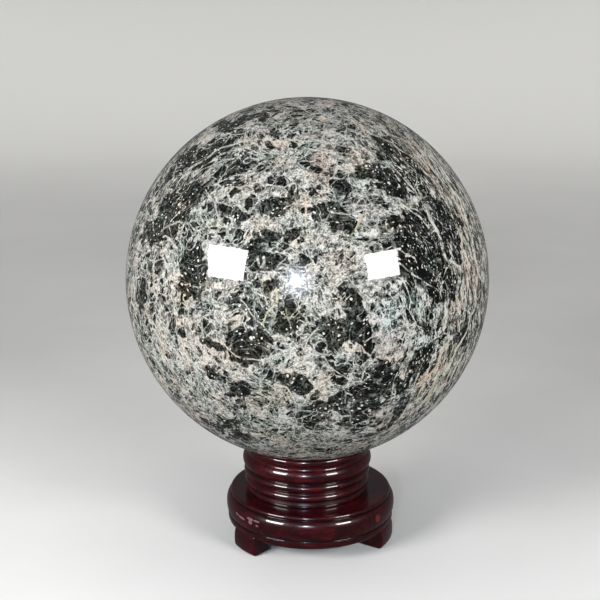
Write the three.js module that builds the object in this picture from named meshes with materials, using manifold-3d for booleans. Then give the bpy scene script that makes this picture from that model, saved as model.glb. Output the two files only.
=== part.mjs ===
// Polished stone ball resting in the dished collar of a lacquered, three-footed wooden stand.
// Millimetres, +Z up. The floor is z = 0 and the Z axis runs through the ball's centre.

import * as THREE from 'three';
import { mergeVertices } from 'three/addons/utils/BufferGeometryUtils.js';
import Module from 'manifold-3d';

const wasm = await Module();
wasm.setup();

// ---------------------------------------------------------------- driving dimensions

const GAP = 0.3; // clearance left between pieces that touch

const BALL_RADIUS = 100;
const BALL_CENTRE_Z = 151;
const BALL_SEGMENTS = 56; // a multiple of 4, so that the ball measures the same along X and Y
const BALL_RINGS = 34;

const STAND_SEGMENTS = 48; // sides of the turned shapes in the stand

const FOOT_COUNT = 3;
const FOOT_HEIGHT = 10;
const FOOT_ARC = 24; // degrees of the rim that one foot takes up
const FOOT_FIRST_ANGLE = -52.3; // degrees from -Y towards +X, to the middle of the first foot
const FOOT_INNER_RADIUS = 35;
const FOOT_SOLE_RADIUS = 47.2;
const FOOT_SWELL_RADIUS = 48.5;
const FOOT_CORNER = 1.4; // rounding of a foot's upright edges

const BASE_OFFSET_X = 2; // the collar was glued this far off the base's centre
const BASE_TOP_Z = 28.4;
const BASE_BULGE_RADIUS = 48.6;
const BASE_LIP_RADIUS = 47.8;
const BASE_LIP_Z = 14.3; // groove above the lip
const RIM_CREST_RADIUS = 46.2;
const RIM_ROUND = 1.3;
const RIM_GROOVE_RADIUS = 45.8;

// The collar's mouldings: radius of the crest, radius of the rounding and height of its middle.
const COLLAR_FLANGE = { crest: 35.1, root: 34.3, top: 31.7 };
const LOWER_BEAD = { crest: 35.8, round: 2.6, z: 34.1 };
const UPPER_BEAD = { crest: 36.2, round: 2.3, z: 40 };
const CUSHION = { crest: 37, round: 5.2, z: 46.7 };
const SEAT_LIP = { crest: 36.3, round: 2.2, z: 55.3 };
const COLLAR_ROOT_RADIUS = 34.8; // bottom of the grooves between the mouldings
const SEAT_RADIUS = 35.1; // where the ball touches the collar
const DISH_RELIEF = 2.6; // how far the dish's middle drops away from the ball

// ---------------------------------------------------------------- helpers

const radians = THREE.MathUtils.degToRad;
const lerp = THREE.MathUtils.lerp;

// Height of the ball's surface over a point that lies r from the axis, on the ball's underside.
function ballUnderside(r) {
  return BALL_CENTRE_Z - Math.sqrt(BALL_RADIUS ** 2 - r ** 2);
}

// Arc of a turned profile, followed upwards between two angles above the horizontal.
function arc(crest, round, z, from, to, steps) {
  const points = [];
  for (let i = 0; i <= steps; i += 1) {
    const angle = lerp(from, to, i / steps);
    points.push(new THREE.Vector2(crest - round + round * Math.cos(angle), z + round * Math.sin(angle)));
  }
  return points;
}

// A bead that stands on a root of the given radius on both sides.
function bead({ crest, round, z }, root, steps) {
  const reach = Math.acos((root - crest + round) / round);
  return arc(crest, round, z, -reach, reach, steps);
}

// A swelling that is no part of a circle: from (r0, z0) out to the crest and back to (r1, z1).
function swell(r0, z0, crest, crestZ, r1, z1, steps) {
  const points = [];
  for (let i = 0; i <= steps; i += 1) {
    const angle = lerp(-Math.PI / 2, Math.PI / 2, i / steps);
    const [r, z] = angle < 0 ? [r0, z0] : [r1, z1];
    const across = Math.cos(angle);
    const along = Math.abs(Math.sin(angle));
    points.push(new THREE.Vector2(lerp(r, crest, across), lerp(crestZ, z, along)));
  }
  return points;
}

// A solid turned about the Z axis from a profile of (radius, height) points.
function turned(profile) {
  const geometry = new THREE.LatheGeometry(profile, STAND_SEGMENTS);
  geometry.rotateX(Math.PI / 2);
  return geometry;
}

// A three.js geometry as a manifold solid.
function solidOf(geometry) {
  const bare = geometry.clone();
  bare.deleteAttribute('normal');
  bare.deleteAttribute('uv');
  const merged = mergeVertices(bare, 1e-4);
  return new wasm.Manifold(new wasm.Mesh({
    numProp: 3,
    vertProperties: new Float32Array(merged.attributes.position.array),
    triVerts: new Uint32Array(merged.index.array),
  }));
}

// A manifold solid as a three.js geometry.
function geometryOf(solid) {
  const mesh = solid.getMesh();
  const geometry = new THREE.BufferGeometry();
  geometry.setAttribute('position', new THREE.BufferAttribute(mesh.vertProperties, 3));
  geometry.setIndex(new THREE.BufferAttribute(mesh.triVerts, 1));
  return geometry;
}

// ---------------------------------------------------------------- the ball

function ballGeometry() {
  const geometry = new THREE.SphereGeometry(BALL_RADIUS, BALL_SEGMENTS, BALL_RINGS);
  geometry.rotateX(Math.PI / 2);
  geometry.translate(0, 0, BALL_CENTRE_Z);
  return geometry;
}

// ---------------------------------------------------------------- the collar

// From the line where the ball rests in to the dish's middle.
function dishProfile() {
  const points = [];
  const steps = 3;
  for (let i = steps; i >= 0; i -= 1) {
    const r = SEAT_RADIUS * (i / steps);
    const relief = DISH_RELIEF * (1 - (i / steps) ** 2);
    points.push(new THREE.Vector2(r, ballUnderside(r) - GAP - relief));
  }
  return points;
}

function collarGeometry() {
  const bottom = BASE_TOP_Z + GAP;
  const lipReach = Math.acos((COLLAR_ROOT_RADIUS - SEAT_LIP.crest + SEAT_LIP.round) / SEAT_LIP.round);
  const lipTop = Math.acos((SEAT_RADIUS + 0.2 - SEAT_LIP.crest + SEAT_LIP.round) / SEAT_LIP.round);
  return turned([
    new THREE.Vector2(0, bottom),
    new THREE.Vector2(COLLAR_FLANGE.crest, bottom),
    new THREE.Vector2(COLLAR_FLANGE.crest, lerp(bottom, COLLAR_FLANGE.top, 0.5)),
    new THREE.Vector2(COLLAR_FLANGE.root, COLLAR_FLANGE.top),
    ...bead(LOWER_BEAD, COLLAR_FLANGE.root, 6),
    ...bead(UPPER_BEAD, COLLAR_ROOT_RADIUS, 6),
    ...bead(CUSHION, COLLAR_ROOT_RADIUS, 8),
    ...arc(SEAT_LIP.crest, SEAT_LIP.round, SEAT_LIP.z, -lipReach, lipTop, 5),
    ...dishProfile(),
  ]);
}

// ---------------------------------------------------------------- the base

function baseBodyGeometry() {
  const lipRoot = BASE_LIP_RADIUS - 0.7;
  const rimZ = BASE_TOP_Z - RIM_ROUND;
  const rimReach = Math.acos((RIM_GROOVE_RADIUS - RIM_CREST_RADIUS + RIM_ROUND) / RIM_ROUND);
  const shoulderZ = rimZ - RIM_ROUND * Math.sin(rimReach) - 0.2;
  const bulgeZ = lerp(BASE_LIP_Z, shoulderZ, 0.52);
  return turned([
    new THREE.Vector2(0, FOOT_HEIGHT),
    ...swell(lipRoot - 0.6, FOOT_HEIGHT, BASE_LIP_RADIUS, FOOT_HEIGHT + 2.4, lipRoot, BASE_LIP_Z, 4),
    ...swell(lipRoot, BASE_LIP_Z + 0.3, BASE_BULGE_RADIUS, bulgeZ, RIM_GROOVE_RADIUS, shoulderZ, 10),
    ...arc(RIM_CREST_RADIUS, RIM_ROUND, rimZ, -rimReach, Math.PI / 2, 4),
    new THREE.Vector2(0, BASE_TOP_Z),
  ]);
}

// Plan of one foot about the +X direction: a piece of a ring with rounded outer corners.
function footPlan() {
  const outer = BASE_BULGE_RADIUS + 2;
  const half = radians(FOOT_ARC / 2);
  const corner = half - FOOT_CORNER / FOOT_SWELL_RADIUS;
  const face = FOOT_SWELL_RADIUS - FOOT_CORNER;
  const plan = new THREE.Shape();
  plan.absarc(0, 0, FOOT_INNER_RADIUS, half, -half, true);
  plan.lineTo(face * Math.cos(half), -face * Math.sin(half));
  plan.lineTo(outer * Math.cos(corner), -outer * Math.sin(corner));
  plan.lineTo(outer * Math.cos(corner), outer * Math.sin(corner));
  plan.lineTo(face * Math.cos(half), face * Math.sin(half));
  plan.closePath();
  return plan;
}

// The ring that all the feet are cut from: swelling below the base's lip, drawn in at the floor.
function footRingGeometry() {
  const inner = FOOT_INNER_RADIUS - 1;
  const top = FOOT_HEIGHT + 1;
  const soleEdge = new THREE.Vector2(FOOT_SOLE_RADIUS, 0);
  const swellZ = FOOT_HEIGHT * 0.5;
  return turned([
    new THREE.Vector2(inner, 0),
    soleEdge,
    ...swell(FOOT_SOLE_RADIUS + 0.4, 0.4, FOOT_SWELL_RADIUS, swellZ, BASE_LIP_RADIUS - 0.3, top, 6),
    new THREE.Vector2(inner, top),
    new THREE.Vector2(inner, 0),
  ]);
}

function baseGeometry() {
  let solid = solidOf(baseBodyGeometry());
  const ring = solidOf(footRingGeometry());
  for (let i = 0; i < FOOT_COUNT; i += 1) {
    const angle = FOOT_FIRST_ANGLE - 90 + (i * 360) / FOOT_COUNT;
    const block = new THREE.ExtrudeGeometry(footPlan(), {
      depth: FOOT_HEIGHT + 3,
      bevelEnabled: false,
      curveSegments: 4,
    });
    block.translate(0, 0, -1);
    block.rotateZ(radians(angle));
    solid = solid.add(ring.intersect(solidOf(block)));
  }
  return geometryOf(solid);
}

// ---------------------------------------------------------------- assembly

const stone = new THREE.MeshStandardMaterial({ color: 0x39403a, roughness: 0.08, metalness: 0 });
const lacquer = new THREE.MeshStandardMaterial({ color: 0x3a0c10, roughness: 0.14, metalness: 0 });

function piece(name, geometry, material) {
  const mesh = new THREE.Mesh(geometry, material.clone());
  mesh.name = name;
  return mesh;
}

const base = piece('stand_base', baseGeometry(), lacquer);
base.position.x = BASE_OFFSET_X;

const stand = new THREE.Group();
stand.add(base, piece('stand_collar', collarGeometry(), lacquer));

const part = new THREE.Group();
part.add(stand, piece('sphere', ballGeometry(), stone));

export default part;
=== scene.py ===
"""Looks of a polished stone ball on a lacquered, three-footed wooden stand. Blender 4.5.

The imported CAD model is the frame: metres, +Z up, floor at z = 0, Z axis through the ball.
"""

import math

import bpy
import numpy as np
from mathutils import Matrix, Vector
from mathutils.noise import noise_vector, seed_set


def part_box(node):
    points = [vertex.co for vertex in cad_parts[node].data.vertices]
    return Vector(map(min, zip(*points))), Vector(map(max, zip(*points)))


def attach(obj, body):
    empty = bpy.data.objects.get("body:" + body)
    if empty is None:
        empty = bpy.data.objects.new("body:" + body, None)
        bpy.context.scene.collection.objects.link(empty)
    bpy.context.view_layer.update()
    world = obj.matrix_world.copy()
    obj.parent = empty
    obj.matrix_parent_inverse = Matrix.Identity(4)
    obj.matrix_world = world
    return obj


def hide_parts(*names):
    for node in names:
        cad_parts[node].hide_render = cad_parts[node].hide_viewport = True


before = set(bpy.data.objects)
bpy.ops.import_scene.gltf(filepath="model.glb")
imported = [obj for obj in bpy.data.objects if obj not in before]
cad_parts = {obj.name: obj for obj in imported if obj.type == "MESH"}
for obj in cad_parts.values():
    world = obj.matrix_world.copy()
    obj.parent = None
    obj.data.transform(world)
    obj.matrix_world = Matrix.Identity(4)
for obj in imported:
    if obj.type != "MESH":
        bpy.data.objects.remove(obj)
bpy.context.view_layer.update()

MM = 0.001

PATTERN_SEED = 7
seed_set(PATTERN_SEED)  # places the noise_vector pattern, which is otherwise new each run

# ------------------------------------------------------------------ the object, in millimetres

ball_low, ball_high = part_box("sphere")
BALL_RADIUS = (ball_high.z - ball_low.z) / 2 / MM
BALL_CENTRE_Z = (ball_high.z + ball_low.z) / 2 / MM
BALL_GRID = 126  # quads along each edge of the cube that the ball is blown up from

base_low, base_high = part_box("stand_base")
BASE_CENTRE_X = (base_high.x + base_low.x) / 2 / MM
BASE_TOP_Z = base_high.z / MM

COLLAR_SIDES = 360
BASE_SIDES = 480

# The collar's mouldings: radius of the crest, radius of the rounding and height of its middle.
COLLAR_FLANGE = {"crest": 35.1, "root": 34.3, "top": 31.7}
LOWER_BEAD = {"crest": 35.8, "round": 2.6, "z": 34.1}
UPPER_BEAD = {"crest": 36.2, "round": 2.3, "z": 40.0}
CUSHION = {"crest": 37.0, "round": 5.2, "z": 46.7}
SEAT_LIP = {"crest": 36.3, "round": 2.2, "z": 55.3}
COLLAR_ROOT_RADIUS = 34.8  # bottom of the grooves between them
DISH_RELIEF = 2.6  # how far the dish's middle drops away from the ball
SEAT_CLEARANCE = 0.02  # between the dish and the ball

FOOT_COUNT = 3
FOOT_HEIGHT = 10.0
FOOT_ARC = 24.0  # degrees of the rim that one foot takes up
FOOT_FIRST_ANGLE = -52.3  # degrees from -Y towards +X, to the middle of the first foot
FOOT_INNER_RADIUS = 35.0
FOOT_SOLE_RADIUS = 47.2
FOOT_SWELL_RADIUS = 48.5
FOOT_CORNER = 1.4  # rounding of a foot's upright edges

BASE_BULGE_RADIUS = 48.6
BASE_LIP_RADIUS = 47.8
BASE_LIP_ROOT = BASE_LIP_RADIUS - 0.7  # radius of the groove above the lip
BASE_LIP_Z = 14.3  # height of that groove
RIM_CREST_RADIUS = 46.2
RIM_ROUND = 1.3
RIM_GROOVE_RADIUS = 45.8

# Rounded edge of a foot's sole: height, change of radius, and how far the other sides draw in.
SOLE_ROUNDING = [(0.0, -0.3, 0.9), (0.12, 0.02, 0.5), (0.35, 0.28, 0.2), (0.7, 0.42, 0.04)]

# Grooves between the mouldings and the corner at the collar's foot, as (radius, height), where painted
# shade darkens the lacquer.
COLLAR_SHADED_GROOVES = [
    (34.4, 31.8),
    (34.4, 37.1),
    (COLLAR_ROOT_RADIUS, 42.2),
    (COLLAR_ROOT_RADIUS, 52.1),
    (COLLAR_FLANGE["crest"], BASE_TOP_Z),
]
# Grooves of the base and the corner at the collar's foot, where painted shade darkens the lacquer.
BASE_SHADED_GROOVES = [(RIM_GROOVE_RADIUS, 25.9), (BASE_LIP_ROOT, 14.45), (35.5, BASE_TOP_Z)]

# Shallow dents on the bulge with a painted reflection on them: degrees from -Y towards +X, height, half
# length and half width in mm, tilt.
DENTS_WITH_PAINTED_REFLECTION = [
    (-58.5, 21.2, 1.8, 0.7, -12),
    (-53.0, 20.7, 3.6, 0.8, -4),
    (-44.5, 22.4, 3.0, 0.8, 0),
    (-38.5, 22.4, 2.8, 0.7, 0),
    (-43.8, 20.6, 1.8, 1.4, 20),
    (-38.2, 19.9, 1.1, 0.7, 0),
]
DENT_DEPTH = 0.10

# A drop of lacquer that dried with a raised edge.
DROP_ANGLE = 50.0  # degrees
DROP_HEIGHT = 21.3
DROP_RING_RADIUS = 1.5
DROP_EDGE_HEIGHT = 0.42

# ------------------------------------------------------------------ the studio, in millimetres

BOWL_RADIUS = 2600.0  # the floor's edge, where it stands up as a low wall
BOWL_BEND = 900.0  # radius of the curve between floor and wall
BOWL_HEIGHT = 1700.0
FLOOR_SIDES = 96
FLOOR_PALES_FROM = 500.0  # distance from the object

# Softboxes: name, place, turn in degrees, size.
SOFTBOXES = [
    ("left_softbox", (-614, -520, 389), (45.6, -2.3, -40.8), (353, 267)),
    ("right_softbox", (572, -565, 397), (75.3, 0.1, 38.4), (293, 199)),
]
SOFTBOX_RADIANCE = 54.0

# A bare lamp with a glow about it: discs of a width and a radiance, each behind the one before.
LAMP_DISCS = [(70, 110.0), (105, 13.0), (150, 7.0), (210, 4.0), (290, 3.0), (380, 1.6)]
LAMP_PLACE = (-88, -777, 319)
LAMP_DISC_GAP = 6
LAMP_COLOUR = (0.70, 0.82, 1.0)

# Wide soft panels that the polish doesn't mirror: name, place, turn in degrees, size, radiance.
FILL_PANELS = [
    ("overhead", (0, 900, 2100), (0, 0, 0), (3000, 3000), 1.3),
    ("back_fill", (0, 1900, 1250), (-62, 0, 0), (2200, 1200), 0.7),
]
WORLD_COLOUR = (0.92, 0.95, 1.0, 1.0)
WORLD_STRENGTH = 0.16

CAMERA_PLACE = Vector((-4, -624, 296))
CAMERA_PITCH = 14.12  # degrees below the horizon
CAMERA_LENS = 69.0
CAMERA_SENSOR = 36.0


def lerp(a, b, t):
    return a + (b - a) * t


def smooth(t):
    t = np.clip(t, 0, 1)
    return t * t * (3 - 2 * t)


# ------------------------------------------------------------------ mesh helpers


def mesh_object(name, points, faces, material):
    """A smooth-shaded object from points in millimetres."""
    mesh = bpy.data.meshes.new(name)
    mesh.from_pydata((np.asarray(points, float) * MM).tolist(), [], faces)
    mesh.polygons.foreach_set("use_smooth", [True] * len(mesh.polygons))
    mesh.materials.append(material)
    mesh.update()
    piece = bpy.data.objects.new(name, mesh)
    bpy.context.scene.collection.objects.link(piece)
    return piece


def polar(angle, radius):
    """(x, y) of a point, its angle in degrees from -Y towards +X."""
    a = np.radians(angle)
    return radius * np.sin(a), -radius * np.cos(a)


def arc(crest, rounding, z, start, end, steps):
    """(radius, height) along a rounding, between two angles above the horizontal."""
    angles = np.linspace(start, end, steps + 1)
    return [(crest - rounding + rounding * math.cos(t), z + rounding * math.sin(t)) for t in angles]


def bead(shape, root, steps):
    """A moulding that stands on a root of the given radius on both sides."""
    reach = math.acos((root - shape["crest"] + shape["round"]) / shape["round"])
    return arc(shape["crest"], shape["round"], shape["z"], -reach, reach, steps)


def swell(r0, z0, crest, crest_z, r1, z1, steps):
    """From (r0, z0) out to the crest and back to (r1, z1), as two quarters of ellipses."""
    points = []
    for t in np.linspace(-math.pi / 2, math.pi / 2, steps + 1):
        r, z = (r0, z0) if t < 0 else (r1, z1)
        points.append((lerp(r, crest, math.cos(t)), lerp(crest_z, z, abs(math.sin(t)))))
    return points


def turned(profile, sides, wobble=None):
    """Points and faces of a profile of (radius, height) turned about the Z axis, closed at both ends."""
    profile = np.array(profile)
    angle = np.arange(sides) * 360.0 / sides
    radius = np.repeat(profile[:, :1], sides, axis=1)
    height = np.repeat(profile[:, 1:], sides, axis=1)
    if wobble is not None:
        radius = wobble(radius, height, angle[None, :])
    x, y = polar(angle[None, :], radius)
    points = np.stack([x, y, height], -1).reshape(-1, 3)
    faces = skin(len(profile), sides)
    return points, faces


def skin(levels, sides):
    """Faces of a stack of closed rings of points, then a cap on the first ring and one on the last."""
    faces = []
    for level in range(levels - 1):
        for i in range(sides):
            j = (i + 1) % sides
            low, high = level * sides, (level + 1) * sides
            faces.append((low + i, low + j, high + j, high + i))
    faces.append(tuple(range(sides))[::-1])
    last = (levels - 1) * sides
    faces.append(tuple(last + i for i in range(sides)))
    return faces


def set_attribute(piece, name, values):
    """A number for each point of the piece, for its material to read."""
    attribute = piece.data.attributes.new(name, "FLOAT", "POINT")
    attribute.data.foreach_set("value", np.asarray(values, np.float32))


# ------------------------------------------------------------------ node helpers


class Nodes:
    """A material's node tree, with short ways to add to it."""

    def __init__(self, name):
        self.material = bpy.data.materials.new(name)
        self.material.use_nodes = True
        self.tree = self.material.node_tree
        self.tree.nodes.clear()

    def add(self, kind, **settings):
        node = self.tree.nodes.new(kind)
        for key, value in settings.items():
            setattr(node, key, value)
        return node

    def put(self, socket, value):
        if isinstance(value, bpy.types.NodeSocket):
            self.tree.links.new(value, socket)
        else:
            socket.default_value = value

    def math(self, operation, *values):
        node = self.add("ShaderNodeMath", operation=operation)
        for socket, value in zip(node.inputs, values):
            self.put(socket, value)
        return node.outputs[0]

    def vector(self, operation, *values):
        node = self.add("ShaderNodeVectorMath", operation=operation)
        for socket, value in zip(node.inputs, values):
            self.put(socket, value)
        return node.outputs["Value" if operation in ("DOT_PRODUCT", "LENGTH") else "Vector"]

    def scaled(self, vector, factor):
        node = self.add("ShaderNodeVectorMath", operation="SCALE")
        self.put(node.inputs[0], vector)
        self.put(node.inputs["Scale"], factor)
        return node.outputs[0]

    def noise(self, vector, size, detail=2.0, roughness=0.5, distortion=0.0, output="Fac"):
        """A cloud of waves size long, with smaller ones on them."""
        node = self.add("ShaderNodeTexNoise")
        self.put(node.inputs["Vector"], vector)
        self.put(node.inputs["Scale"], 1.0 / size)
        self.put(node.inputs["Detail"], detail)
        self.put(node.inputs["Roughness"], roughness)
        self.put(node.inputs["Distortion"], distortion)
        return node.outputs[output]

    def cells(self, vector, size, feature="DISTANCE_TO_EDGE", output="Distance"):
        """Angular cells about size wide."""
        node = self.add("ShaderNodeTexVoronoi", feature=feature)
        self.put(node.inputs["Vector"], vector)
        self.put(node.inputs["Scale"], 1.0 / size)
        return node.outputs[output]

    def fade(self, value, start, end, low=0.0, high=1.0, kind="SMOOTHSTEP"):
        """low where value is below start, high where it is above end, smooth between."""
        node = self.add("ShaderNodeMapRange", interpolation_type=kind)
        for socket, v in zip(node.inputs, (value, start, end, low, high)):
            self.put(socket, v)
        return node.outputs[0]

    def ramp(self, value, *stops):
        node = self.add("ShaderNodeValToRGB")
        elements = node.color_ramp.elements
        while len(elements) < len(stops):
            elements.new(0.5)
        for element, (place, colour) in zip(elements, stops):
            element.position = place
            element.color = (*colour, 1.0)
        self.put(node.inputs[0], value)
        return node.outputs[0]

    def mix(self, factor, a, b, blend="MIX"):
        node = self.add("ShaderNodeMix", data_type="RGBA", blend_type=blend)
        for socket, value in ((0, factor), (6, a), (7, b)):
            if isinstance(value, tuple):
                value = (*value, 1.0)
            self.put(node.inputs[socket], value)
        return node.outputs[2]

    def attribute(self, name):
        return self.add("ShaderNodeAttribute", attribute_name=name).outputs["Fac"]

    def product(self, *values):
        total = values[0]
        for value in values[1:]:
            total = self.math("MULTIPLY", total, value)
        return total

    def plus(self, start, value, weight):
        """start + value * weight"""
        return self.math("MULTIPLY_ADD", value, weight, start)

    def blend(self, factor, low, high):
        """The number low where factor is 0, high where it is 1."""
        return self.plus(low, self.math("SUBTRACT", high, low), factor)

    def varied(self, start, *patterns):
        """start plus each pattern's difference from its mean, times its weight."""
        value = start
        for pattern, mean, weight in patterns:
            value = self.plus(value, self.math("SUBTRACT", pattern, mean), weight)
        return value

    def place(self, origin):
        """Millimetres from an origin, in the object's own axes."""
        coordinates = self.add("ShaderNodeTexCoord").outputs["Object"]
        return self.vector("SUBTRACT", self.scaled(coordinates, 1 / MM), origin)

    def bump(self, height, strength, distance):
        node = self.add("ShaderNodeBump")
        self.put(node.inputs["Height"], height)
        self.put(node.inputs["Strength"], strength)
        self.put(node.inputs["Distance"], distance * MM)
        return node.outputs[0]

    def finish(self, **sockets):
        shader = self.add("ShaderNodeBsdfPrincipled")
        for name, value in sockets.items():
            if isinstance(value, tuple):
                value = (*value, 1.0)
            self.put(shader.inputs[name.replace("_", " ")], value)
        output = self.add("ShaderNodeOutputMaterial")
        self.tree.links.new(shader.outputs[0], output.inputs[0])
        return self.material


def srgb(*values):
    """A colour given in 0-255 display values, as linear light."""
    shares = [value / 255 for value in values]
    return tuple(c / 12.92 if c <= 0.04045 else ((c + 0.055) / 1.055) ** 2.4 for c in shares)


# ------------------------------------------------------------------ the stone's large pattern

# Areas of the ball's front, as soft ellipses: across and up in ball radii as seen from the camera,
# long and short size in mm, tilt in degrees, weight.
DARK_MASSES = [
    (-0.56, 0.69, 44, 8, 27, 1.0),
    (-0.37, 0.65, 21, 10, 10, 0.9),
    (-0.41, 0.56, 14, 5, 0, 0.9),
    (-0.73, 0.37, 42, 15, 50, 1.0),
    (-0.43, 0.36, 18, 8, -10, 1.0),
    (-0.19, 0.42, 20, 10, 0, 0.8),
    (-0.20, 0.24, 13, 9, 0, 0.8),
    (-0.09, 0.24, 10, 8, 90, 1.0),
    (-0.64, 0.07, 32, 14, 90, 1.0),
    (-0.26, 0.10, 18, 15, 0, 1.0),
    (-0.34, 0.87, 28, 6, 12, 0.9),
    (-0.14, 0.81, 15, 4, 0, 0.9),
    (0.45, 0.70, 22, 11, -35, 1.0),
    (0.57, 0.60, 26, 13, -40, 1.0),
    (0.66, 0.52, 12, 10, -45, 0.9),
    (0.43, 0.55, 32, 13, -25, 1.0),
    (0.19, 0.50, 11, 9, -40, 0.9),
    (0.14, 0.36, 24, 14, -20, 1.0),
    (0.60, 0.18, 44, 30, -55, 1.0),
    (0.75, 0.28, 38, 14, -62, 1.0),
    (0.68, 0.02, 28, 16, -60, 1.0),
    (0.78, -0.04, 15, 8, 90, 1.0),
    (-0.37, -0.17, 10, 9, 0, 1.0),
    (-0.31, -0.34, 27, 20, 0, 1.0),
    (-0.28, -0.17, 16, 8, 90, 0.9),
    (-0.09, -0.21, 19, 17, 90, 0.9),
    (-0.22, -0.05, 9, 7, 0, 0.8),
    (-0.93, -0.10, 18, 5, 95, 0.8),
    (-0.52, -0.35, 9, 7, 0, 0.9),
    (-0.53, -0.52, 7, 6, -40, 1.0),
    (-0.38, -0.61, 11, 10, 0, 0.7),
    (-0.38, -0.69, 8, 5, 0, 0.8),
    (-0.07, -0.58, 20, 12, 0, 0.8),
    (-0.45, -0.83, 25, 9, -20, 0.9),
    (0.27, -0.22, 38, 12, -72, 1.0),
    (0.14, -0.29, 20, 16, -30, 0.9),
    (0.40, -0.58, 28, 18, 80, 1.0),
    (0.52, -0.63, 17, 8, 90, 1.0),
    (0.27, -0.70, 26, 20, 0, 1.0),
    (0.18, -0.52, 11, 9, 0, 0.8),
    (0.06, -0.73, 16, 11, 0, 0.9),
    (0.73, -0.30, 11, 10, 0, 1.0),
    (0.62, -0.47, 24, 9, 60, 1.0),
    (0.87, -0.25, 23, 10, 80, 0.8),
    (0.47, -0.76, 15, 7, 55, 1.0),
    (0.28, -0.83, 9, 5, 0, 0.8),
]
BLUE_GREY = [
    (0.48, -0.25, 38, 34, 90, 1.0),
    (0.10, 0.78, 30, 16, 0, 0.5),
    (0.30, 0.42, 30, 16, -30, 0.6),
]
PINK = [
    (0.06, 0.56, 20, 13, 90, 1.0),
    (0.54, 0.77, 30, 5, -42, 0.9),
    (0.73, 0.52, 34, 5, -55, 1.0),
    (0.85, 0.27, 30, 6, -68, 1.0),
    (0.90, 0.0, 32, 6, 90, 0.9),
    (0.81, -0.2, 28, 6, 80, 0.8),
    (0.69, -0.50, 30, 5, 55, 1.0),
    (0.76, -0.45, 24, 4, 58, 0.9),
    (-0.51, -0.38, 28, 19, 0, 0.8),
    (-0.20, 0.76, 26, 8, 0, 0.7),
    (-0.51, 0.27, 20, 8, 0, 0.7),
    (-0.86, -0.05, 34, 9, 90, 0.7),
]
OLIVE = [
    (-0.19, -0.66, 24, 12, 0, 0.55),
    (-0.67, -0.09, 12, 9, 90, 1.0),
    (-0.09, -0.21, 19, 17, 0, 0.7),
    (-0.22, -0.05, 10, 9, 0, 0.9),
]
PALE = [
    (0.18, -0.39, 26, 12, -20, 1.0),
    (0.48, -0.25, 34, 26, 90, 0.5),
    (0.06, -0.56, 22, 8, -60, 1.0),
    (-0.20, 0.76, 40, 10, 0, 0.7),
    (-0.45, 0.18, 40, 14, 10, 0.8),
    (-0.40, -0.48, 34, 10, 0, 0.6),
    (-0.78, 0.12, 40, 24, 90, 1.0),
    (-0.62, -0.45, 40, 30, 0, 0.8),
    (-0.05, -0.44, 24, 10, 0, 0.8),
]

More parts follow.
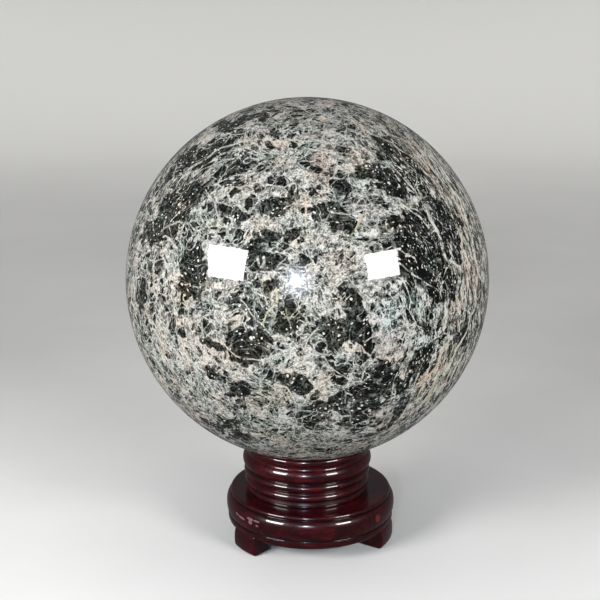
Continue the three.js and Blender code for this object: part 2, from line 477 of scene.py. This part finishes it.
# Separate veins on the ball's front: weight, ochre share, then points (across, up) in ball radii.
VEINS = [
    (0.9, 0.5, (-0.01, 0.45), (-0.01, 0.26)),
    (0.8, 0.9, (0.25, 0.25), (0.28, 0.31), (0.32, 0.37)),
    (1.0, 0.1, (0.53, 0.40), (0.62, 0.34), (0.71, 0.26), (0.75, 0.18), (0.79, 0.10), (0.88, 0.02)),
    (0.9, 0.0, (0.69, 0.34), (0.71, 0.27), (0.736, 0.19), (0.79, 0.09)),
    (0.9, 0.3, (0.88, 0.02), (0.85, -0.055), (0.79, -0.15), (0.74, -0.23)),
    (0.8, 0.0, (0.50, 0.08), (0.535, 0.06), (0.62, 0.01), (0.70, -0.056)),
    (0.7, 0.0, (0.18, 0.22), (0.25, 0.18), (0.31, 0.14)),
    (0.7, 0.0, (0.145, 0.077), (0.24, -0.017), (0.31, -0.094)),
    (0.8, 0.0, (0.18, 0.36), (0.285, 0.324), (0.36, 0.26), (0.42, 0.20)),
    (0.7, 0.0, (0.30, 0.50), (0.364, 0.385), (0.42, 0.28), (0.45, 0.20)),
    (0.9, 0.1, (-0.36, -0.12), (-0.334, -0.15), (-0.276, -0.238), (-0.247, -0.252), (-0.20, -0.30)),
    (0.9, 0.7, (-0.165, -0.06), (-0.174, -0.10), (-0.196, -0.15), (-0.239, -0.245)),
    (0.7, 0.1, (-0.122, -0.165), (-0.086, -0.26), (-0.086, -0.311)),
    (0.7, 0.0, (-0.422, -0.165), (-0.414, -0.209), (-0.363, -0.252)),
    (0.9, 0.1, (-0.474, -0.325), (-0.43, -0.38), (-0.386, -0.427), (-0.334, -0.449), (-0.24, -0.44),
     (-0.152, -0.406)),
    (1.0, 0.2, (-0.232, -0.552), (-0.181, -0.574), (-0.122, -0.595), (-0.086, -0.639)),
    (0.9, 0.2, (-0.22, -0.575), (-0.17, -0.60), (-0.12, -0.63), (-0.09, -0.67)),
    (0.8, 0.0, (-0.353, 0.046), (-0.266, 0.043), (-0.193, 0.028), (-0.12, 0.0)),
    (0.8, 0.0, (-0.63, 0.55), (-0.57, 0.60), (-0.50, 0.63), (-0.38, 0.68)),
    (0.9, 0.0, (-0.66, 0.60), (-0.55, 0.68), (-0.42, 0.74), (-0.30, 0.77)),
    (0.8, 0.0, (-0.50, 0.41), (-0.38, 0.41), (-0.32, 0.36), (-0.28, 0.32), (-0.20, 0.28)),
    (0.8, 0.0, (-0.45, 0.43), (-0.35, 0.45), (-0.28, 0.50), (-0.22, 0.58)),
    (0.8, 0.2, (0.30, 0.83), (0.45, 0.76), (0.60, 0.65), (0.70, 0.52), (0.78, 0.40), (0.84, 0.25)),
    (0.8, 0.2, (0.40, 0.84), (0.55, 0.75), (0.67, 0.63), (0.77, 0.49), (0.84, 0.36)),
    (0.8, 0.1, (0.50, -0.52), (0.47, -0.62), (0.45, -0.73), (0.40, -0.82)),
    (0.8, 0.1, (0.62, -0.50), (0.58, -0.62), (0.52, -0.75), (0.44, -0.86)),
    (0.9, 0.6, (0.76, -0.33), (0.72, -0.44), (0.66, -0.55), (0.60, -0.66)),
    (0.9, 0.6, (0.81, -0.36), (0.77, -0.47), (0.71, -0.57), (0.64, -0.68)),
    (0.7, 0.0, (0.20, -0.62), (0.22, -0.70), (0.25, -0.79)),
    (1.0, 0.1, (0.60, 0.74), (0.73, 0.60), (0.83, 0.43), (0.90, 0.25), (0.94, 0.06)),
    (1.0, 0.1, (0.94, 0.10), (0.93, -0.10), (0.88, -0.27), (0.80, -0.45), (0.69, -0.63)),
    (0.9, 0.1, (0.84, 0.30), (0.87, 0.12), (0.86, -0.06), (0.82, -0.22), (0.76, -0.36)),
    (0.9, 0.1, (0.47, 0.62), (0.58, 0.50), (0.66, 0.38), (0.72, 0.26), (0.80, 0.04)),
]

BALL_CENTRE = np.array([0.0, 0.0, BALL_CENTRE_Z])
TO_VIEWER = np.array(CAMERA_PLACE) - BALL_CENTRE
VIEW_DISTANCE = float(np.linalg.norm(TO_VIEWER))
TO_VIEWER = TO_VIEWER / VIEW_DISTANCE
FACE_RIGHT = np.cross([0, 0, 1], TO_VIEWER)
FACE_RIGHT = FACE_RIGHT / np.linalg.norm(FACE_RIGHT)
FACE_UP = np.cross(TO_VIEWER, FACE_RIGHT)

# One side of the ball is drawn out into parallel streaks, which run square to an axis.
STREAK_SIDE = np.array([0.966, -0.259, 0.0])
STREAK_AXIS = -0.26 * FACE_RIGHT - 0.28 * FACE_UP + 0.924 * TO_VIEWER
STREAK_LEVEL = 50.0  # mm along the axis that stay in place
STREAK_SQUEEZE = 1.5  # how much thinner than before the pattern gets along the axis
STREAK_CONTRAST = 0.35  # how much harder it alternates between dark and pale

FAR_FROM_VEINS = 6.0  # mm, the largest distance from a separate vein that is told apart


def drift(points, size, reach, seed):
    """A smooth random vector of up to about reach for each point, for bending outlines."""
    shift = Vector((seed * 17.3, seed * 5.9, seed * 11.1))
    return np.array([noise_vector(Vector(p) / size + shift) for p in points]) * reach


def seen_places(points):
    """(across, up) in ball radii as the camera sees them, and how far each point faces it."""
    out = (points - BALL_CENTRE) / BALL_RADIUS
    depth = VIEW_DISTANCE / BALL_RADIUS - out @ TO_VIEWER
    spread = math.sqrt((VIEW_DISTANCE / BALL_RADIUS) ** 2 - 1)
    return out @ FACE_RIGHT / depth * spread, out @ FACE_UP / depth * spread, out @ TO_VIEWER


def blotches(places, blots):
    """Strength, 0 to 1, of a list of soft ellipses at each place."""
    across, up, _ = places
    total = np.zeros(len(across))
    for middle_across, middle_up, length, width, tilt, weight in blots:
        t = math.radians(tilt)
        dx = (across - middle_across) * BALL_RADIUS
        dy = (up - middle_up) * BALL_RADIUS
        along = (dx * math.cos(t) + dy * math.sin(t)) / (length / 2)
        beside = (-dx * math.sin(t) + dy * math.cos(t)) / (width / 2)
        reach = np.hypot(along, beside)
        total = np.maximum(total, weight * (1 - smooth((reach - 0.55) / 0.85)))
    return total


def strands(places):
    """Signed and plain distance in mm to the nearest of VEINS, its weight and its ochre share."""
    spot = np.stack(places[:2], -1)
    gap = np.full(len(spot), 1e3)
    side, weight, ochre = np.ones(len(spot)), np.zeros(len(spot)), np.zeros(len(spot))
    for strength, tint, *path in VEINS:
        path = np.array(path)
        for start, step in zip(path[:-1], np.diff(path, axis=0)):
            t = np.clip((spot - start) @ step / (step @ step), 0, 1)
            away = spot - start - t[:, None] * step
            distance = np.linalg.norm(away, axis=1) * BALL_RADIUS
            nearer = distance < gap
            gap = np.where(nearer, distance, gap)
            side = np.where(nearer, np.sign(step[0] * away[:, 1] - step[1] * away[:, 0]), side)
            weight = np.where(nearer, strength, weight)
            ochre = np.where(nearer, tint, ochre)
    gap = np.where(places[2] > 0.1, np.minimum(gap, FAR_FROM_VEINS), FAR_FROM_VEINS)
    return side * gap, gap, weight, ochre


# ------------------------------------------------------------------ materials


class Stone(Nodes):
    """The ball's stone. Its patterns share the masks and the bent coordinates made here."""

    def __init__(self):
        super().__init__("polished_veined_stone")
        self.spot = self.place(tuple(BALL_CENTRE))
        self.dark = self.attribute("dark")
        self.pale = self.attribute("pale")
        self.foliation = self.attribute("foliation")
        self.drawn = self.drawn_out()
        # the same coordinates pushed about by large waves, then by smaller and smaller ones too
        self.wide = self.shift(self.drawn, size=38, reach=16.0)
        self.middle = self.shift(self.wide, size=11, reach=5.0)
        self.fine = self.shift(self.middle, size=2.6, reach=1.6)
        self.mottle = self.noise(self.wide, 13, 2, 0.5)
        self.grain = self.noise(self.spot, 0.9, 2, 0.85)

    def drawn_out(self):
        """Coordinates that turn what is drawn with them into streaks on the ball's streaked side."""
        along = self.vector("DOT_PRODUCT", self.spot, tuple(STREAK_AXIS))
        past_level = self.math("SUBTRACT", along, STREAK_LEVEL)
        squeeze = self.product(past_level, self.foliation, STREAK_SQUEEZE)
        return self.vector("ADD", self.spot, self.scaled(tuple(STREAK_AXIS), squeeze))

    def shift(self, vector, size, reach):
        """vector moved by up to half of reach either way, in waves of the given size."""
        push = self.noise(vector, size, 2, output="Color")
        push = self.vector("SUBTRACT", push, (0.5, 0.5, 0.5))
        return self.vector("ADD", vector, self.scaled(push, reach))

    def masses(self):
        """1 in the large dark masses, with ragged edges."""
        ragged = self.noise(self.middle, 8, 5, 0.67)
        return self.fade(self.varied(self.dark, (ragged, 0.5, 1.6)), 0.27, 0.41)

    def crumbs(self, size, pale_share, start, margin, softness):
        """Angular cells that turn dark by chance, more so in dark masses, and mm to the cells' edges."""
        draw = self.cells(self.fine, size, "F1", "Color")
        chance = self.vector("DOT_PRODUCT", draw, (1.0, 0.0, 0.0))
        chance = self.plus(chance, self.dark, 0.3)
        chance = self.plus(chance, self.pale, -pale_share)
        chance = self.varied(chance, (self.mottle, 0.5, -1.6))
        deep = self.fade(self.vector("DOT_PRODUCT", draw, (0.0, 1.0, 0.0)), 0.0, 0.5, 0.35, 1.0)
        edge = self.math("MULTIPLY", self.cells(self.fine, size), size)
        inside = self.product(self.fade(edge, margin, margin + softness), deep)
        return self.product(self.fade(chance, start, start + 0.12), inside), edge

    def lines(self, vector, size, offset, width, detail):
        """1 along the thin winding lines where a noise crosses its mean."""
        apart = self.vector("ADD", vector, (offset, -offset, 2 * offset))
        value = self.noise(apart, size, detail, 0.5)
        away = self.math("ABSOLUTE", self.math("SUBTRACT", value, 0.5))
        return self.fade(away, width * 0.2, width, 1.0, 0.0)

    def strand(self):
        """1 along the separate veins, which break off here and there."""
        away = self.math("ABSOLUTE", self.attribute("strand"))
        return self.product(
            self.fade(away, 0.18, 0.75, 1.0, 0.0),
            self.attribute("strand_weight"),
            self.fade(self.attribute("strand_gap"), 1.3, 2.0, 1.0, 0.0),
            self.fade(self.noise(self.spot, 3, 2, 0.6), 0.30, 0.48),
        )

    def veins(self, mass, crumb_edge):
        """1 along all the thin pale veins but the separate ones."""
        broken = self.fade(self.noise(self.spot, 15, 3, 0.6), 0.42, 0.60)
        frayed = self.fade(self.noise(self.spot, 9, 3, 0.6), 0.45, 0.62)
        apart = self.vector("ADD", self.middle, (40.0, 15.0, 70.0))
        long_edge = self.math("MULTIPLY", self.cells(apart, 27), 27.0)
        # pattern, where it shows, weight
        patterns = (
            (self.fade(long_edge, 0.1, 0.75, 1.0, 0.0), broken, 0.95),
            (self.lines(self.wide, 26, 31.0, 0.016, 4), frayed, 0.95),
            (self.lines(self.wide, 34, 53.0, 0.011, 5), broken, 0.95),
            (self.lines(self.middle, 13, 77.0, 0.026, 3), broken, 0.9),
            (self.lines(self.fine, 7, 12.0, 0.034, 3), self.fade(mass, 0.0, 1.0, 0.65, 0.20), 1.0),
            (self.fade(crumb_edge, 0.0, 0.5, 1.0, 0.0), self.fade(mass, 0.0, 1.0, 0.65, 0.34), 1.0),
        )
        vein = 0.0
        for pattern, share, weight in patterns:
            vein = self.math("MAXIMUM", vein, self.product(pattern, share, weight))
        return vein

    def tone(self, depth, vein):
        """0 in the darkest mineral, 1 in the palest, for a depth of darkness and a vein pattern."""
        speckle = self.noise(self.fine, 2.4, 2, 0.85)
        # each pattern with its mean and its weight
        matrix = self.varied(
            0.665,
            (self.noise(self.middle, 9, 3, 0.85), 0.5, 1.3),
            (self.mottle, 0.5, 0.4),
            (speckle, 0.5, 2.2),
            (self.grain, 0.5, 1.4),
            (self.pale, 0.2, 0.10),
        )
        ground = self.varied(0.02, (speckle, 0.5, 1.3), (self.grain, 0.5, 1.0))
        lit_vein = self.varied(0.90, (self.grain, 0.5, 1.2))
        return self.blend(vein, self.blend(depth, matrix, ground), lit_vein)

    def streaked(self, tone):
        """tone with the streaked side alternating harder between dark and pale."""
        middle_tone = 0.55
        contrast = self.plus(1.0, self.foliation, STREAK_CONTRAST)
        tone = self.plus(middle_tone, self.math("SUBTRACT", tone, middle_tone), contrast)
        bands = self.math("SUBTRACT", self.noise(self.drawn, 7, 2, 0.6), 0.52)
        return self.plus(tone, self.product(bands, self.foliation), 2.2)

    def specked(self, tone):
        """tone with white specks, most of them in the dark ground."""
        for size, start, reach in ((1.7, 0.60, 0.42), (3.1, 0.85, 0.36)):
            pick = self.vector("DOT_PRODUCT", self.cells(self.fine, size, "F1", "Color"), (1.0, 0.0, 0.0))
            radius = self.fade(self.plus(pick, self.dark, 0.35), start, 1.30, 0.0, reach, "LINEAR")
            away = self.cells(self.fine, size, "F1")
            tone = self.math("MAXIMUM", tone, self.fade(self.math("SUBTRACT", radius, away), 0.0, 0.08))
        return tone

    def tinted(self, colour):
        """colour with warm and cool clouds and with the pink, blue-grey and olive areas."""
        hue = self.noise(self.wide, 13, 4, 0.6)
        tints = (
            (self.fade(hue, 0.51, 0.66), (1.0, 0.905, 0.855)),
            (self.fade(hue, 0.49, 0.34), (0.90, 0.98, 0.96)),
            (self.product(self.attribute("pink"), 0.75), (1.0, 0.89, 0.84)),
            (self.attribute("blue"), (0.91, 0.96, 1.0)),
            (self.attribute("olive"), (1.0, 0.91, 0.79)),
        )
        for share, tint in tints:
            colour = self.mix(share, colour, tint, "MULTIPLY")
        return colour


def stone_material():
    n = Stone()
    mass = n.masses()
    large, large_edge = n.crumbs(size=5.6, pale_share=0.18, start=0.54, margin=0.15, softness=0.45)
    small, _ = n.crumbs(size=2.8, pale_share=0.05, start=0.46, margin=0.1, softness=0.35)
    depth = n.math("MAXIMUM", n.product(mass, 0.97), n.product(large, 0.90))
    depth = n.math("MAXIMUM", depth, n.product(small, 0.76))
    strand = n.strand()
    vein = n.math("MAXIMUM", strand, n.veins(mass, large_edge))
    tone = n.specked(n.streaked(n.tone(depth, vein)))
    colour = n.ramp(
        tone,
        (0.0, srgb(5, 6, 5)),
        (0.25, srgb(34, 35, 32)),
        (0.5, srgb(69, 69, 65)),
        (0.75, srgb(105, 104, 99)),
        (1.0, srgb(146, 144, 137)),
    )
    ochre = n.product(n.attribute("ochre"), strand, 0.8)
    return n.finish(
        Base_Color=n.tinted(n.mix(ochre, colour, srgb(130, 118, 82))),
        Roughness=0.34,
        Specular_IOR_Level=0.0,
        Coat_Weight=0.64,
        Coat_Roughness=0.03,
        Coat_IOR=1.42,
    )


def lacquer_material(name, centre_x):
    """Dark red lacquer on wood that is turned about an upright line through centre_x."""
    n = Nodes(name)
    place = n.place((centre_x, 0.0, 0.0))
    grain = n.noise(n.vector("MULTIPLY", place, (0.14, 1.0, 1.0)), 1.6, 5, 0.6, 0.6)
    cloud = n.noise(place, 14, 3, 0.5)
    colour = n.ramp(
        n.plus(n.product(grain, 0.7), cloud, 0.3),
        (0.35, srgb(11, 1, 2)),
        (0.5, srgb(27, 2, 4)),
        (0.65, srgb(48, 4, 6)),
    )
    colour = n.mix(n.product(n.attribute("drop"), 0.8), colour, srgb(80, 26, 21))
    # painted shade darkens the grooves
    colour = n.mix(n.attribute("shaded_groove"), colour, srgb(6, 2, 3))
    # a painted reflection, pale pinkish grey and broken up by noise, on a few shallow dents of the bulge
    reflection_patch = n.varied(n.attribute("dent_and_painted_reflection"), (n.noise(place, 1.1, 3, 0.7), 0.5, 1.2))
    colour = n.mix(n.fade(reflection_patch, 0.42, 0.72, 0.0, 0.8), colour, srgb(88, 66, 72))
    peel = n.bump(n.noise(place, 2.6, 2, 0.5), strength=0.10, distance=0.25)
    return n.finish(
        Base_Color=colour,
        Roughness=0.3,
        Specular_IOR_Level=0.1,
        Coat_Weight=0.6,
        Coat_Roughness=0.035,
        Coat_IOR=1.45,
        Normal=peel,
        Coat_Normal=peel,
    )


def floor_material():
    n = Nodes("pale_floor")
    place = n.place((0.0, 0.0, 0.0))
    cloud = n.noise(place, 260, 4, 0.55)
    colour = n.ramp(cloud, (0.3, srgb(158, 157, 155)), (0.7, srgb(166, 165, 163)))
    # paler with distance, where less of the lamps' light arrives
    away = n.fade(n.vector("LENGTH", place), FLOOR_PALES_FROM, BOWL_RADIUS)
    colour = n.mix(away, colour, srgb(214, 213, 210))
    return n.finish(Base_Color=colour, Roughness=0.7, Specular_IOR_Level=0.2)


# ------------------------------------------------------------------ the ball


def ball_points():
    """A cube's faces blown up to a ball of radius 1: points and quads, the edges' points shared."""
    ticks = np.tan(np.linspace(-math.pi / 4, math.pi / 4, BALL_GRID + 1))
    u, v = np.meshgrid(ticks, ticks, indexing="ij")
    one = np.ones_like(u)
    sides = [(one, u, v), (-one, v, u), (v, one, u), (u, -one, v), (u, v, one), (v, u, -one)]
    directions = np.concatenate([np.stack(s, -1).reshape(-1, 3) for s in sides])
    directions /= np.linalg.norm(directions, axis=1)[:, None]
    row = BALL_GRID + 1
    i, j = np.meshgrid(np.arange(BALL_GRID), np.arange(BALL_GRID), indexing="ij")
    corner = (i * row + j).reshape(-1)
    quad = np.stack([corner, corner + row, corner + row + 1, corner + 1], -1)
    quads = np.concatenate([quad + k * row * row for k in range(6)])
    _, first, same = np.unique(np.round(directions, 7), axis=0, return_index=True, return_inverse=True)
    return directions[first], same.reshape(-1)[quads]


def make_ball():
    directions, quads = ball_points()
    points = directions * BALL_RADIUS + BALL_CENTRE
    piece = mesh_object("polished_ball", points, quads.tolist(), stone_material())
    ragged = points + drift(points, size=13, reach=5.0, seed=1) + drift(points, size=5, reach=2.2, seed=2)
    places = seen_places(ragged)
    # the front has the areas given in the lists above, the rest has areas of the same kind from a noise
    front = smooth((places[2] + 0.02) / 0.16)
    behind = drift(ragged * (1.0, 1.0, 1.4), size=19, reach=1.0, seed=3)
    masks = {
        "dark": lerp(smooth((behind[:, 0] - 0.05) / 0.35), blotches(places, DARK_MASSES), front),
        "pale": lerp(smooth((behind[:, 1] - 0.1) / 0.4), blotches(places, PALE), front),
        "pink": lerp(smooth((behind[:, 2] - 0.2) / 0.3), blotches(places, PINK), front),
        "blue": front * blotches(places, BLUE_GREY),
        "olive": front * blotches(places, OLIVE),
        "foliation": smooth((directions @ STREAK_SIDE - 0.3) / 0.6),
    }
    veined = strands(seen_places(points + drift(points, size=9, reach=1.6, seed=4)))
    masks.update(zip(("strand", "strand_gap", "strand_weight", "ochre"), veined))
    for name, values in masks.items():
        set_attribute(piece, name, values)
    return piece


# ------------------------------------------------------------------ the stand


def ball_underside(r):
    """Height of the ball's surface over a point that lies r from the axis, on its underside."""
    return BALL_CENTRE_Z - math.sqrt(BALL_RADIUS**2 - r**2)


def seat_angle():
    """Angle on the seat lip's rounding, at the last of many points that is still below the ball."""
    lip = SEAT_LIP
    angles = np.linspace(0, math.pi / 2, 400)
    heights = lip["z"] + lip["round"] * np.sin(angles)
    radii = lip["crest"] - lip["round"] + lip["round"] * np.cos(angles)
    below = [a for a, z, r in zip(angles, heights, radii) if z < ball_underside(r)]
    return below[-1]


def dish_profile(seat):
    """From the seat's radius in to the dish's middle, just clear of the ball and dropping away from it."""
    points = []
    for share in np.linspace(1, 0.02, 14):
        relief = DISH_RELIEF * (1 - share * share)
        points.append((seat * share, ball_underside(seat * share) - SEAT_CLEARANCE - relief))
    return points


def collar_profile():
    bottom = BASE_TOP_Z
    lip = SEAT_LIP
    lip_reach = math.acos((COLLAR_ROOT_RADIUS - lip["crest"] + lip["round"]) / lip["round"])
    touch = seat_angle()
    seat = lip["crest"] - lip["round"] + lip["round"] * math.cos(touch)
    crest, root, top = COLLAR_FLANGE["crest"], COLLAR_FLANGE["root"], COLLAR_FLANGE["top"]
    return [
        (1.0, bottom),
        (crest - 0.4, bottom),
        (crest - 0.08, bottom + 0.1),
        (crest, bottom + 0.4),
        (crest, lerp(bottom, top, 0.45)),
        (crest - 0.1, lerp(bottom, top, 0.65)),
        (root, top),
        *bead(LOWER_BEAD, root, 22),
        *bead(UPPER_BEAD, COLLAR_ROOT_RADIUS, 20),
        *bead(CUSHION, COLLAR_ROOT_RADIUS, 34),
        *arc(lip["crest"], lip["round"], lip["z"], -lip_reach, touch, 20),
        *dish_profile(seat)[1:],
    ]


def groove_shade_mask(points, grooves, reach=0.8):
    """Mask for painted shade: 1 in the bottom of the turned grooves, given as (radius, height), fading over
    reach mm.
    """
    radius = np.hypot(points[:, 0], points[:, 1])
    depth = np.zeros(len(points))
    for r, z in grooves:
        depth = np.maximum(depth, np.exp(-((radius - r) ** 2 + (points[:, 2] - z) ** 2) / reach**2))
    return depth


def collar_wobble(radius, height, angle):
    """radius with the slight unevenness of thick lacquer, none of it near the middle."""
    a = np.radians(angle)
    outer = np.clip((radius - 30) / 4, 0, 1)
    return radius + outer * (0.05 * np.sin(2 * a + 0.7) + 0.035 * np.sin(5 * a + height * 0.4))


def make_collar():
    points, faces = turned(collar_profile(), COLLAR_SIDES, collar_wobble)
    piece = mesh_object("turned_collar", points, faces, lacquer_material("collar_lacquer", 0.0))
    # painted shade in the grooves, as a mask for the lacquer
    set_attribute(piece, "shaded_groove", groove_shade_mask(points, COLLAR_SHADED_GROOVES))
    return piece


def base_profile():
    lip_crest_z = FOOT_HEIGHT + 2.4
    rim_z = BASE_TOP_Z - RIM_ROUND
    rim_reach = math.acos((RIM_GROOVE_RADIUS - RIM_CREST_RADIUS + RIM_ROUND) / RIM_ROUND)
    shoulder_z = rim_z - RIM_ROUND * math.sin(rim_reach) - 0.2
    bulge_z = lerp(BASE_LIP_Z, shoulder_z, 0.52)
    underside_radius = BASE_LIP_ROOT - 0.6
    groove_top_z = BASE_LIP_Z + 0.3
    lip = swell(underside_radius, FOOT_HEIGHT, BASE_LIP_RADIUS, lip_crest_z, BASE_LIP_ROOT, BASE_LIP_Z, 16)
    lower_half = lip[:9]
    return [
        *[(r, FOOT_HEIGHT) for r in (1, 20, 34, 42)],
        *lower_half,
        # above its crest the lip is straighter, with a sharper edge to the groove
        (BASE_LIP_RADIUS - 0.05, FOOT_HEIGHT + 3.1),
        (BASE_LIP_RADIUS - 0.15, FOOT_HEIGHT + 3.95),
        (BASE_LIP_RADIUS - 0.16, FOOT_HEIGHT + 4.02),
        (BASE_LIP_RADIUS - 0.20, FOOT_HEIGHT + 4.05),
        (BASE_LIP_ROOT + 0.08, FOOT_HEIGHT + 4.08),
        (BASE_LIP_ROOT, BASE_LIP_Z),
        *swell(BASE_LIP_ROOT, groove_top_z, BASE_BULGE_RADIUS, bulge_z, RIM_GROOVE_RADIUS, shoulder_z, 40),
        *arc(RIM_CREST_RADIUS, RIM_ROUND, rim_z, -rim_reach, math.pi / 2, 14),
        *[(r, BASE_TOP_Z) for r in (42, 38, 34, 20, 1)],
    ]


def offset_on_bulge(points, angle, height, tilt=0.0):
    """Distance in mm of each point of the base from a place on its bulge, along a tilt and square to it."""
    bearing = np.arctan2(points[:, 0], -points[:, 1])
    across = (bearing - math.radians(angle)) * BASE_BULGE_RADIUS
    up = points[:, 2] - height
    t = math.radians(tilt)
    return across * math.cos(t) + up * math.sin(t), up * math.cos(t) - across * math.sin(t)


def dents_and_painted_reflection(points):
    """1 in the shallow dents with a painted reflection, 0 away from them."""
    rubbed = np.zeros(len(points))
    for angle, height, half_length, half_width, tilt in DENTS_WITH_PAINTED_REFLECTION:
        along, beside = offset_on_bulge(points, angle, height, tilt)
        rubbed = np.maximum(rubbed, 1 - smooth(np.hypot(along / half_length, beside / half_width) - 0.4))
    return rubbed


def make_base():
    points, faces = turned(base_profile(), BASE_SIDES)
    radius = np.hypot(points[:, 0], points[:, 1])
    outer = radius > RIM_GROOVE_RADIUS - 1
    # shallow dents, which also carry a painted reflection in the lacquer
    dent_and_painted_reflection = dents_and_painted_reflection(points) * outer
    from_drop = np.hypot(*offset_on_bulge(points, DROP_ANGLE, DROP_HEIGHT))
    drop_ring = np.exp(-(((from_drop - DROP_RING_RADIUS) / 0.55) ** 2)) * outer
    drop = outer * (1 - smooth((from_drop - 1.4) / 0.9)) * (0.45 + 0.55 * smooth(from_drop / 1.2))
    outward = points[:, :2] / np.maximum(radius, 1e-6)[:, None]
    points[:, :2] += outward * (DROP_EDGE_HEIGHT * drop_ring - DENT_DEPTH * dent_and_painted_reflection)[:, None]
    # painted shade in the grooves, as a mask for the lacquer
    shaded_groove = groove_shade_mask(points, BASE_SHADED_GROOVES)
    points[:, 0] += BASE_CENTRE_X
    piece = mesh_object("turned_base", points, faces, lacquer_material("base_lacquer", BASE_CENTRE_X))
    set_attribute(piece, "shaded_groove", shaded_groove)
    set_attribute(piece, "dent_and_painted_reflection", dent_and_painted_reflection)
    set_attribute(piece, "drop", drop)
    return piece


def foot_outline(outer, inner, half, corner):
    """A foot's plan as (angle, radius), counter-clockwise, its outer corners rounded."""
    edge = math.degrees(corner / outer)
    front = [(t * (half - edge), outer) for t in np.linspace(-1, 1, 21)]
    turn = np.linspace(0, math.pi / 2, 7)[1:]
    rounding = [(half - edge + edge * math.sin(t), outer - corner + corner * math.cos(t)) for t in turn]
    side = [(half, lerp(outer - corner, inner, t)) for t in np.linspace(0, 1, 7)[1:]]
    back = [(half * t, inner) for t in np.linspace(1, -1, 13)[1:]]
    flank = rounding + side[:-1]
    other_flank = [(-angle, radius) for angle, radius in reversed(flank)]
    return front + flank + side[-1:] + back + other_flank


def foot_levels():
    """Height, outer radius and inset of a foot's outlines, from the floor up into the base."""
    top = FOOT_HEIGHT + 1.5
    swell_z = FOOT_HEIGHT * 0.5
    side = swell(FOOT_SOLE_RADIUS + 0.5, 0.5, FOOT_SWELL_RADIUS, swell_z, BASE_LIP_RADIUS - 0.3, top, 18)
    levels = [(z, FOOT_SOLE_RADIUS + change, inset) for z, change, inset in SOLE_ROUNDING]
    return levels + [(z, radius, 0.0) for radius, z in side if z > 0.8]


def make_foot(index, material):
    middle = FOOT_FIRST_ANGLE + index * 360.0 / FOOT_COUNT
    rings = []
    for z, outer, inset in foot_levels():
        half = FOOT_ARC / 2 - math.degrees(inset / outer)
        outline = foot_outline(outer, FOOT_INNER_RADIUS + inset, half, FOOT_CORNER)
        rings.append([(*polar(middle + angle, radius), z) for angle, radius in outline])
    points = [(x + BASE_CENTRE_X, y, z) for ring in rings for x, y, z in ring]
    return mesh_object(f"foot_{index + 1}", points, skin(len(rings), len(rings[0])), material)


# ------------------------------------------------------------------ lights, floor and camera


def area_light(name, place, turn, size, radiance, colour=(1.0, 1.0, 1.0)):
    """A flat panel of the given radiance; place in mm, turn in degrees, size in mm."""
    data = bpy.data.lights.new(name, "AREA")
    data.shape = "RECTANGLE"
    data.size, data.size_y = size[0] * MM, size[1] * MM
    data.energy = radiance * math.pi * data.size * data.size_y
    data.color = colour
    light = bpy.data.objects.new(name, data)
    light.location = Vector(place) * MM
    light.rotation_euler = [math.radians(t) for t in turn]
    light.visible_camera = False
    bpy.context.scene.collection.objects.link(light)
    return light


def make_lamp():
    for number, (across, radiance) in enumerate(LAMP_DISCS):
        x, y, z = LAMP_PLACE
        place = (x, y - LAMP_DISC_GAP * number, z)
        name = f"lamp_{number + 1}"
        disc = area_light(name, place, (0, 0, 0), (across, across), radiance, LAMP_COLOUR)
        disc.data.shape = "DISK"
        to_ball = Vector(BALL_CENTRE) * MM - disc.location
        disc.rotation_euler = to_ball.to_track_quat("-Z", "Y").to_euler()


def make_lights():
    for name, place, turn, size in SOFTBOXES:
        area_light(name, place, turn, size, SOFTBOX_RADIANCE)
    make_lamp()
    for name, place, turn, size, radiance in FILL_PANELS:
        panel = area_light(name, place, turn, size, radiance)
        panel.visible_glossy = False
    world = bpy.data.worlds.new("studio")
    world.use_nodes = True
    background = world.node_tree.nodes["Background"]
    background.inputs["Color"].default_value = WORLD_COLOUR
    background.inputs["Strength"].default_value = WORLD_STRENGTH
    bpy.context.scene.world = world


def make_floor():
    """A round floor whose rim curves up to a low wall, so that no horizon shows."""
    flat = BOWL_RADIUS - BOWL_BEND
    bend = np.linspace(0, math.pi / 2, 25)
    profile = [(1.0, 0.0), (600.0, 0.0), (1400.0, 0.0)]
    profile += [(flat + BOWL_BEND * math.sin(t), BOWL_BEND * (1 - math.cos(t))) for t in bend]
    profile.append((BOWL_RADIUS, BOWL_HEIGHT))
    points, faces = turned(profile, FLOOR_SIDES)
    open_faces = faces[:-1]  # without the lid over the wall
    floor = mesh_object("floor", points, open_faces, floor_material())
    floor.visible_glossy = False  # the polish mirrors a dark studio


def make_camera():
    data = bpy.data.cameras.new("camera")
    data.lens = CAMERA_LENS
    data.sensor_width = CAMERA_SENSOR
    data.clip_start = 0.01
    data.clip_end = 50.0
    camera = bpy.data.objects.new("camera", data)
    camera.location = CAMERA_PLACE * MM
    camera.rotation_euler = (math.radians(90 - CAMERA_PITCH), 0.0, 0.0)
    bpy.context.scene.collection.objects.link(camera)
    bpy.context.scene.camera = camera


# ------------------------------------------------------------------ assembly

bpy.context.scene.view_settings.view_transform = "Standard"
make_camera()
make_lights()
make_floor()

ball = make_ball()
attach(ball, "root")
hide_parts("sphere")

collar = make_collar()
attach(collar, "root")
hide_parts("stand_collar")

base = make_base()
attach(base, "root")
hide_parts("stand_base")

for number in range(FOOT_COUNT):
    foot = make_foot(number, base.data.materials[0])
    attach(foot, "root")
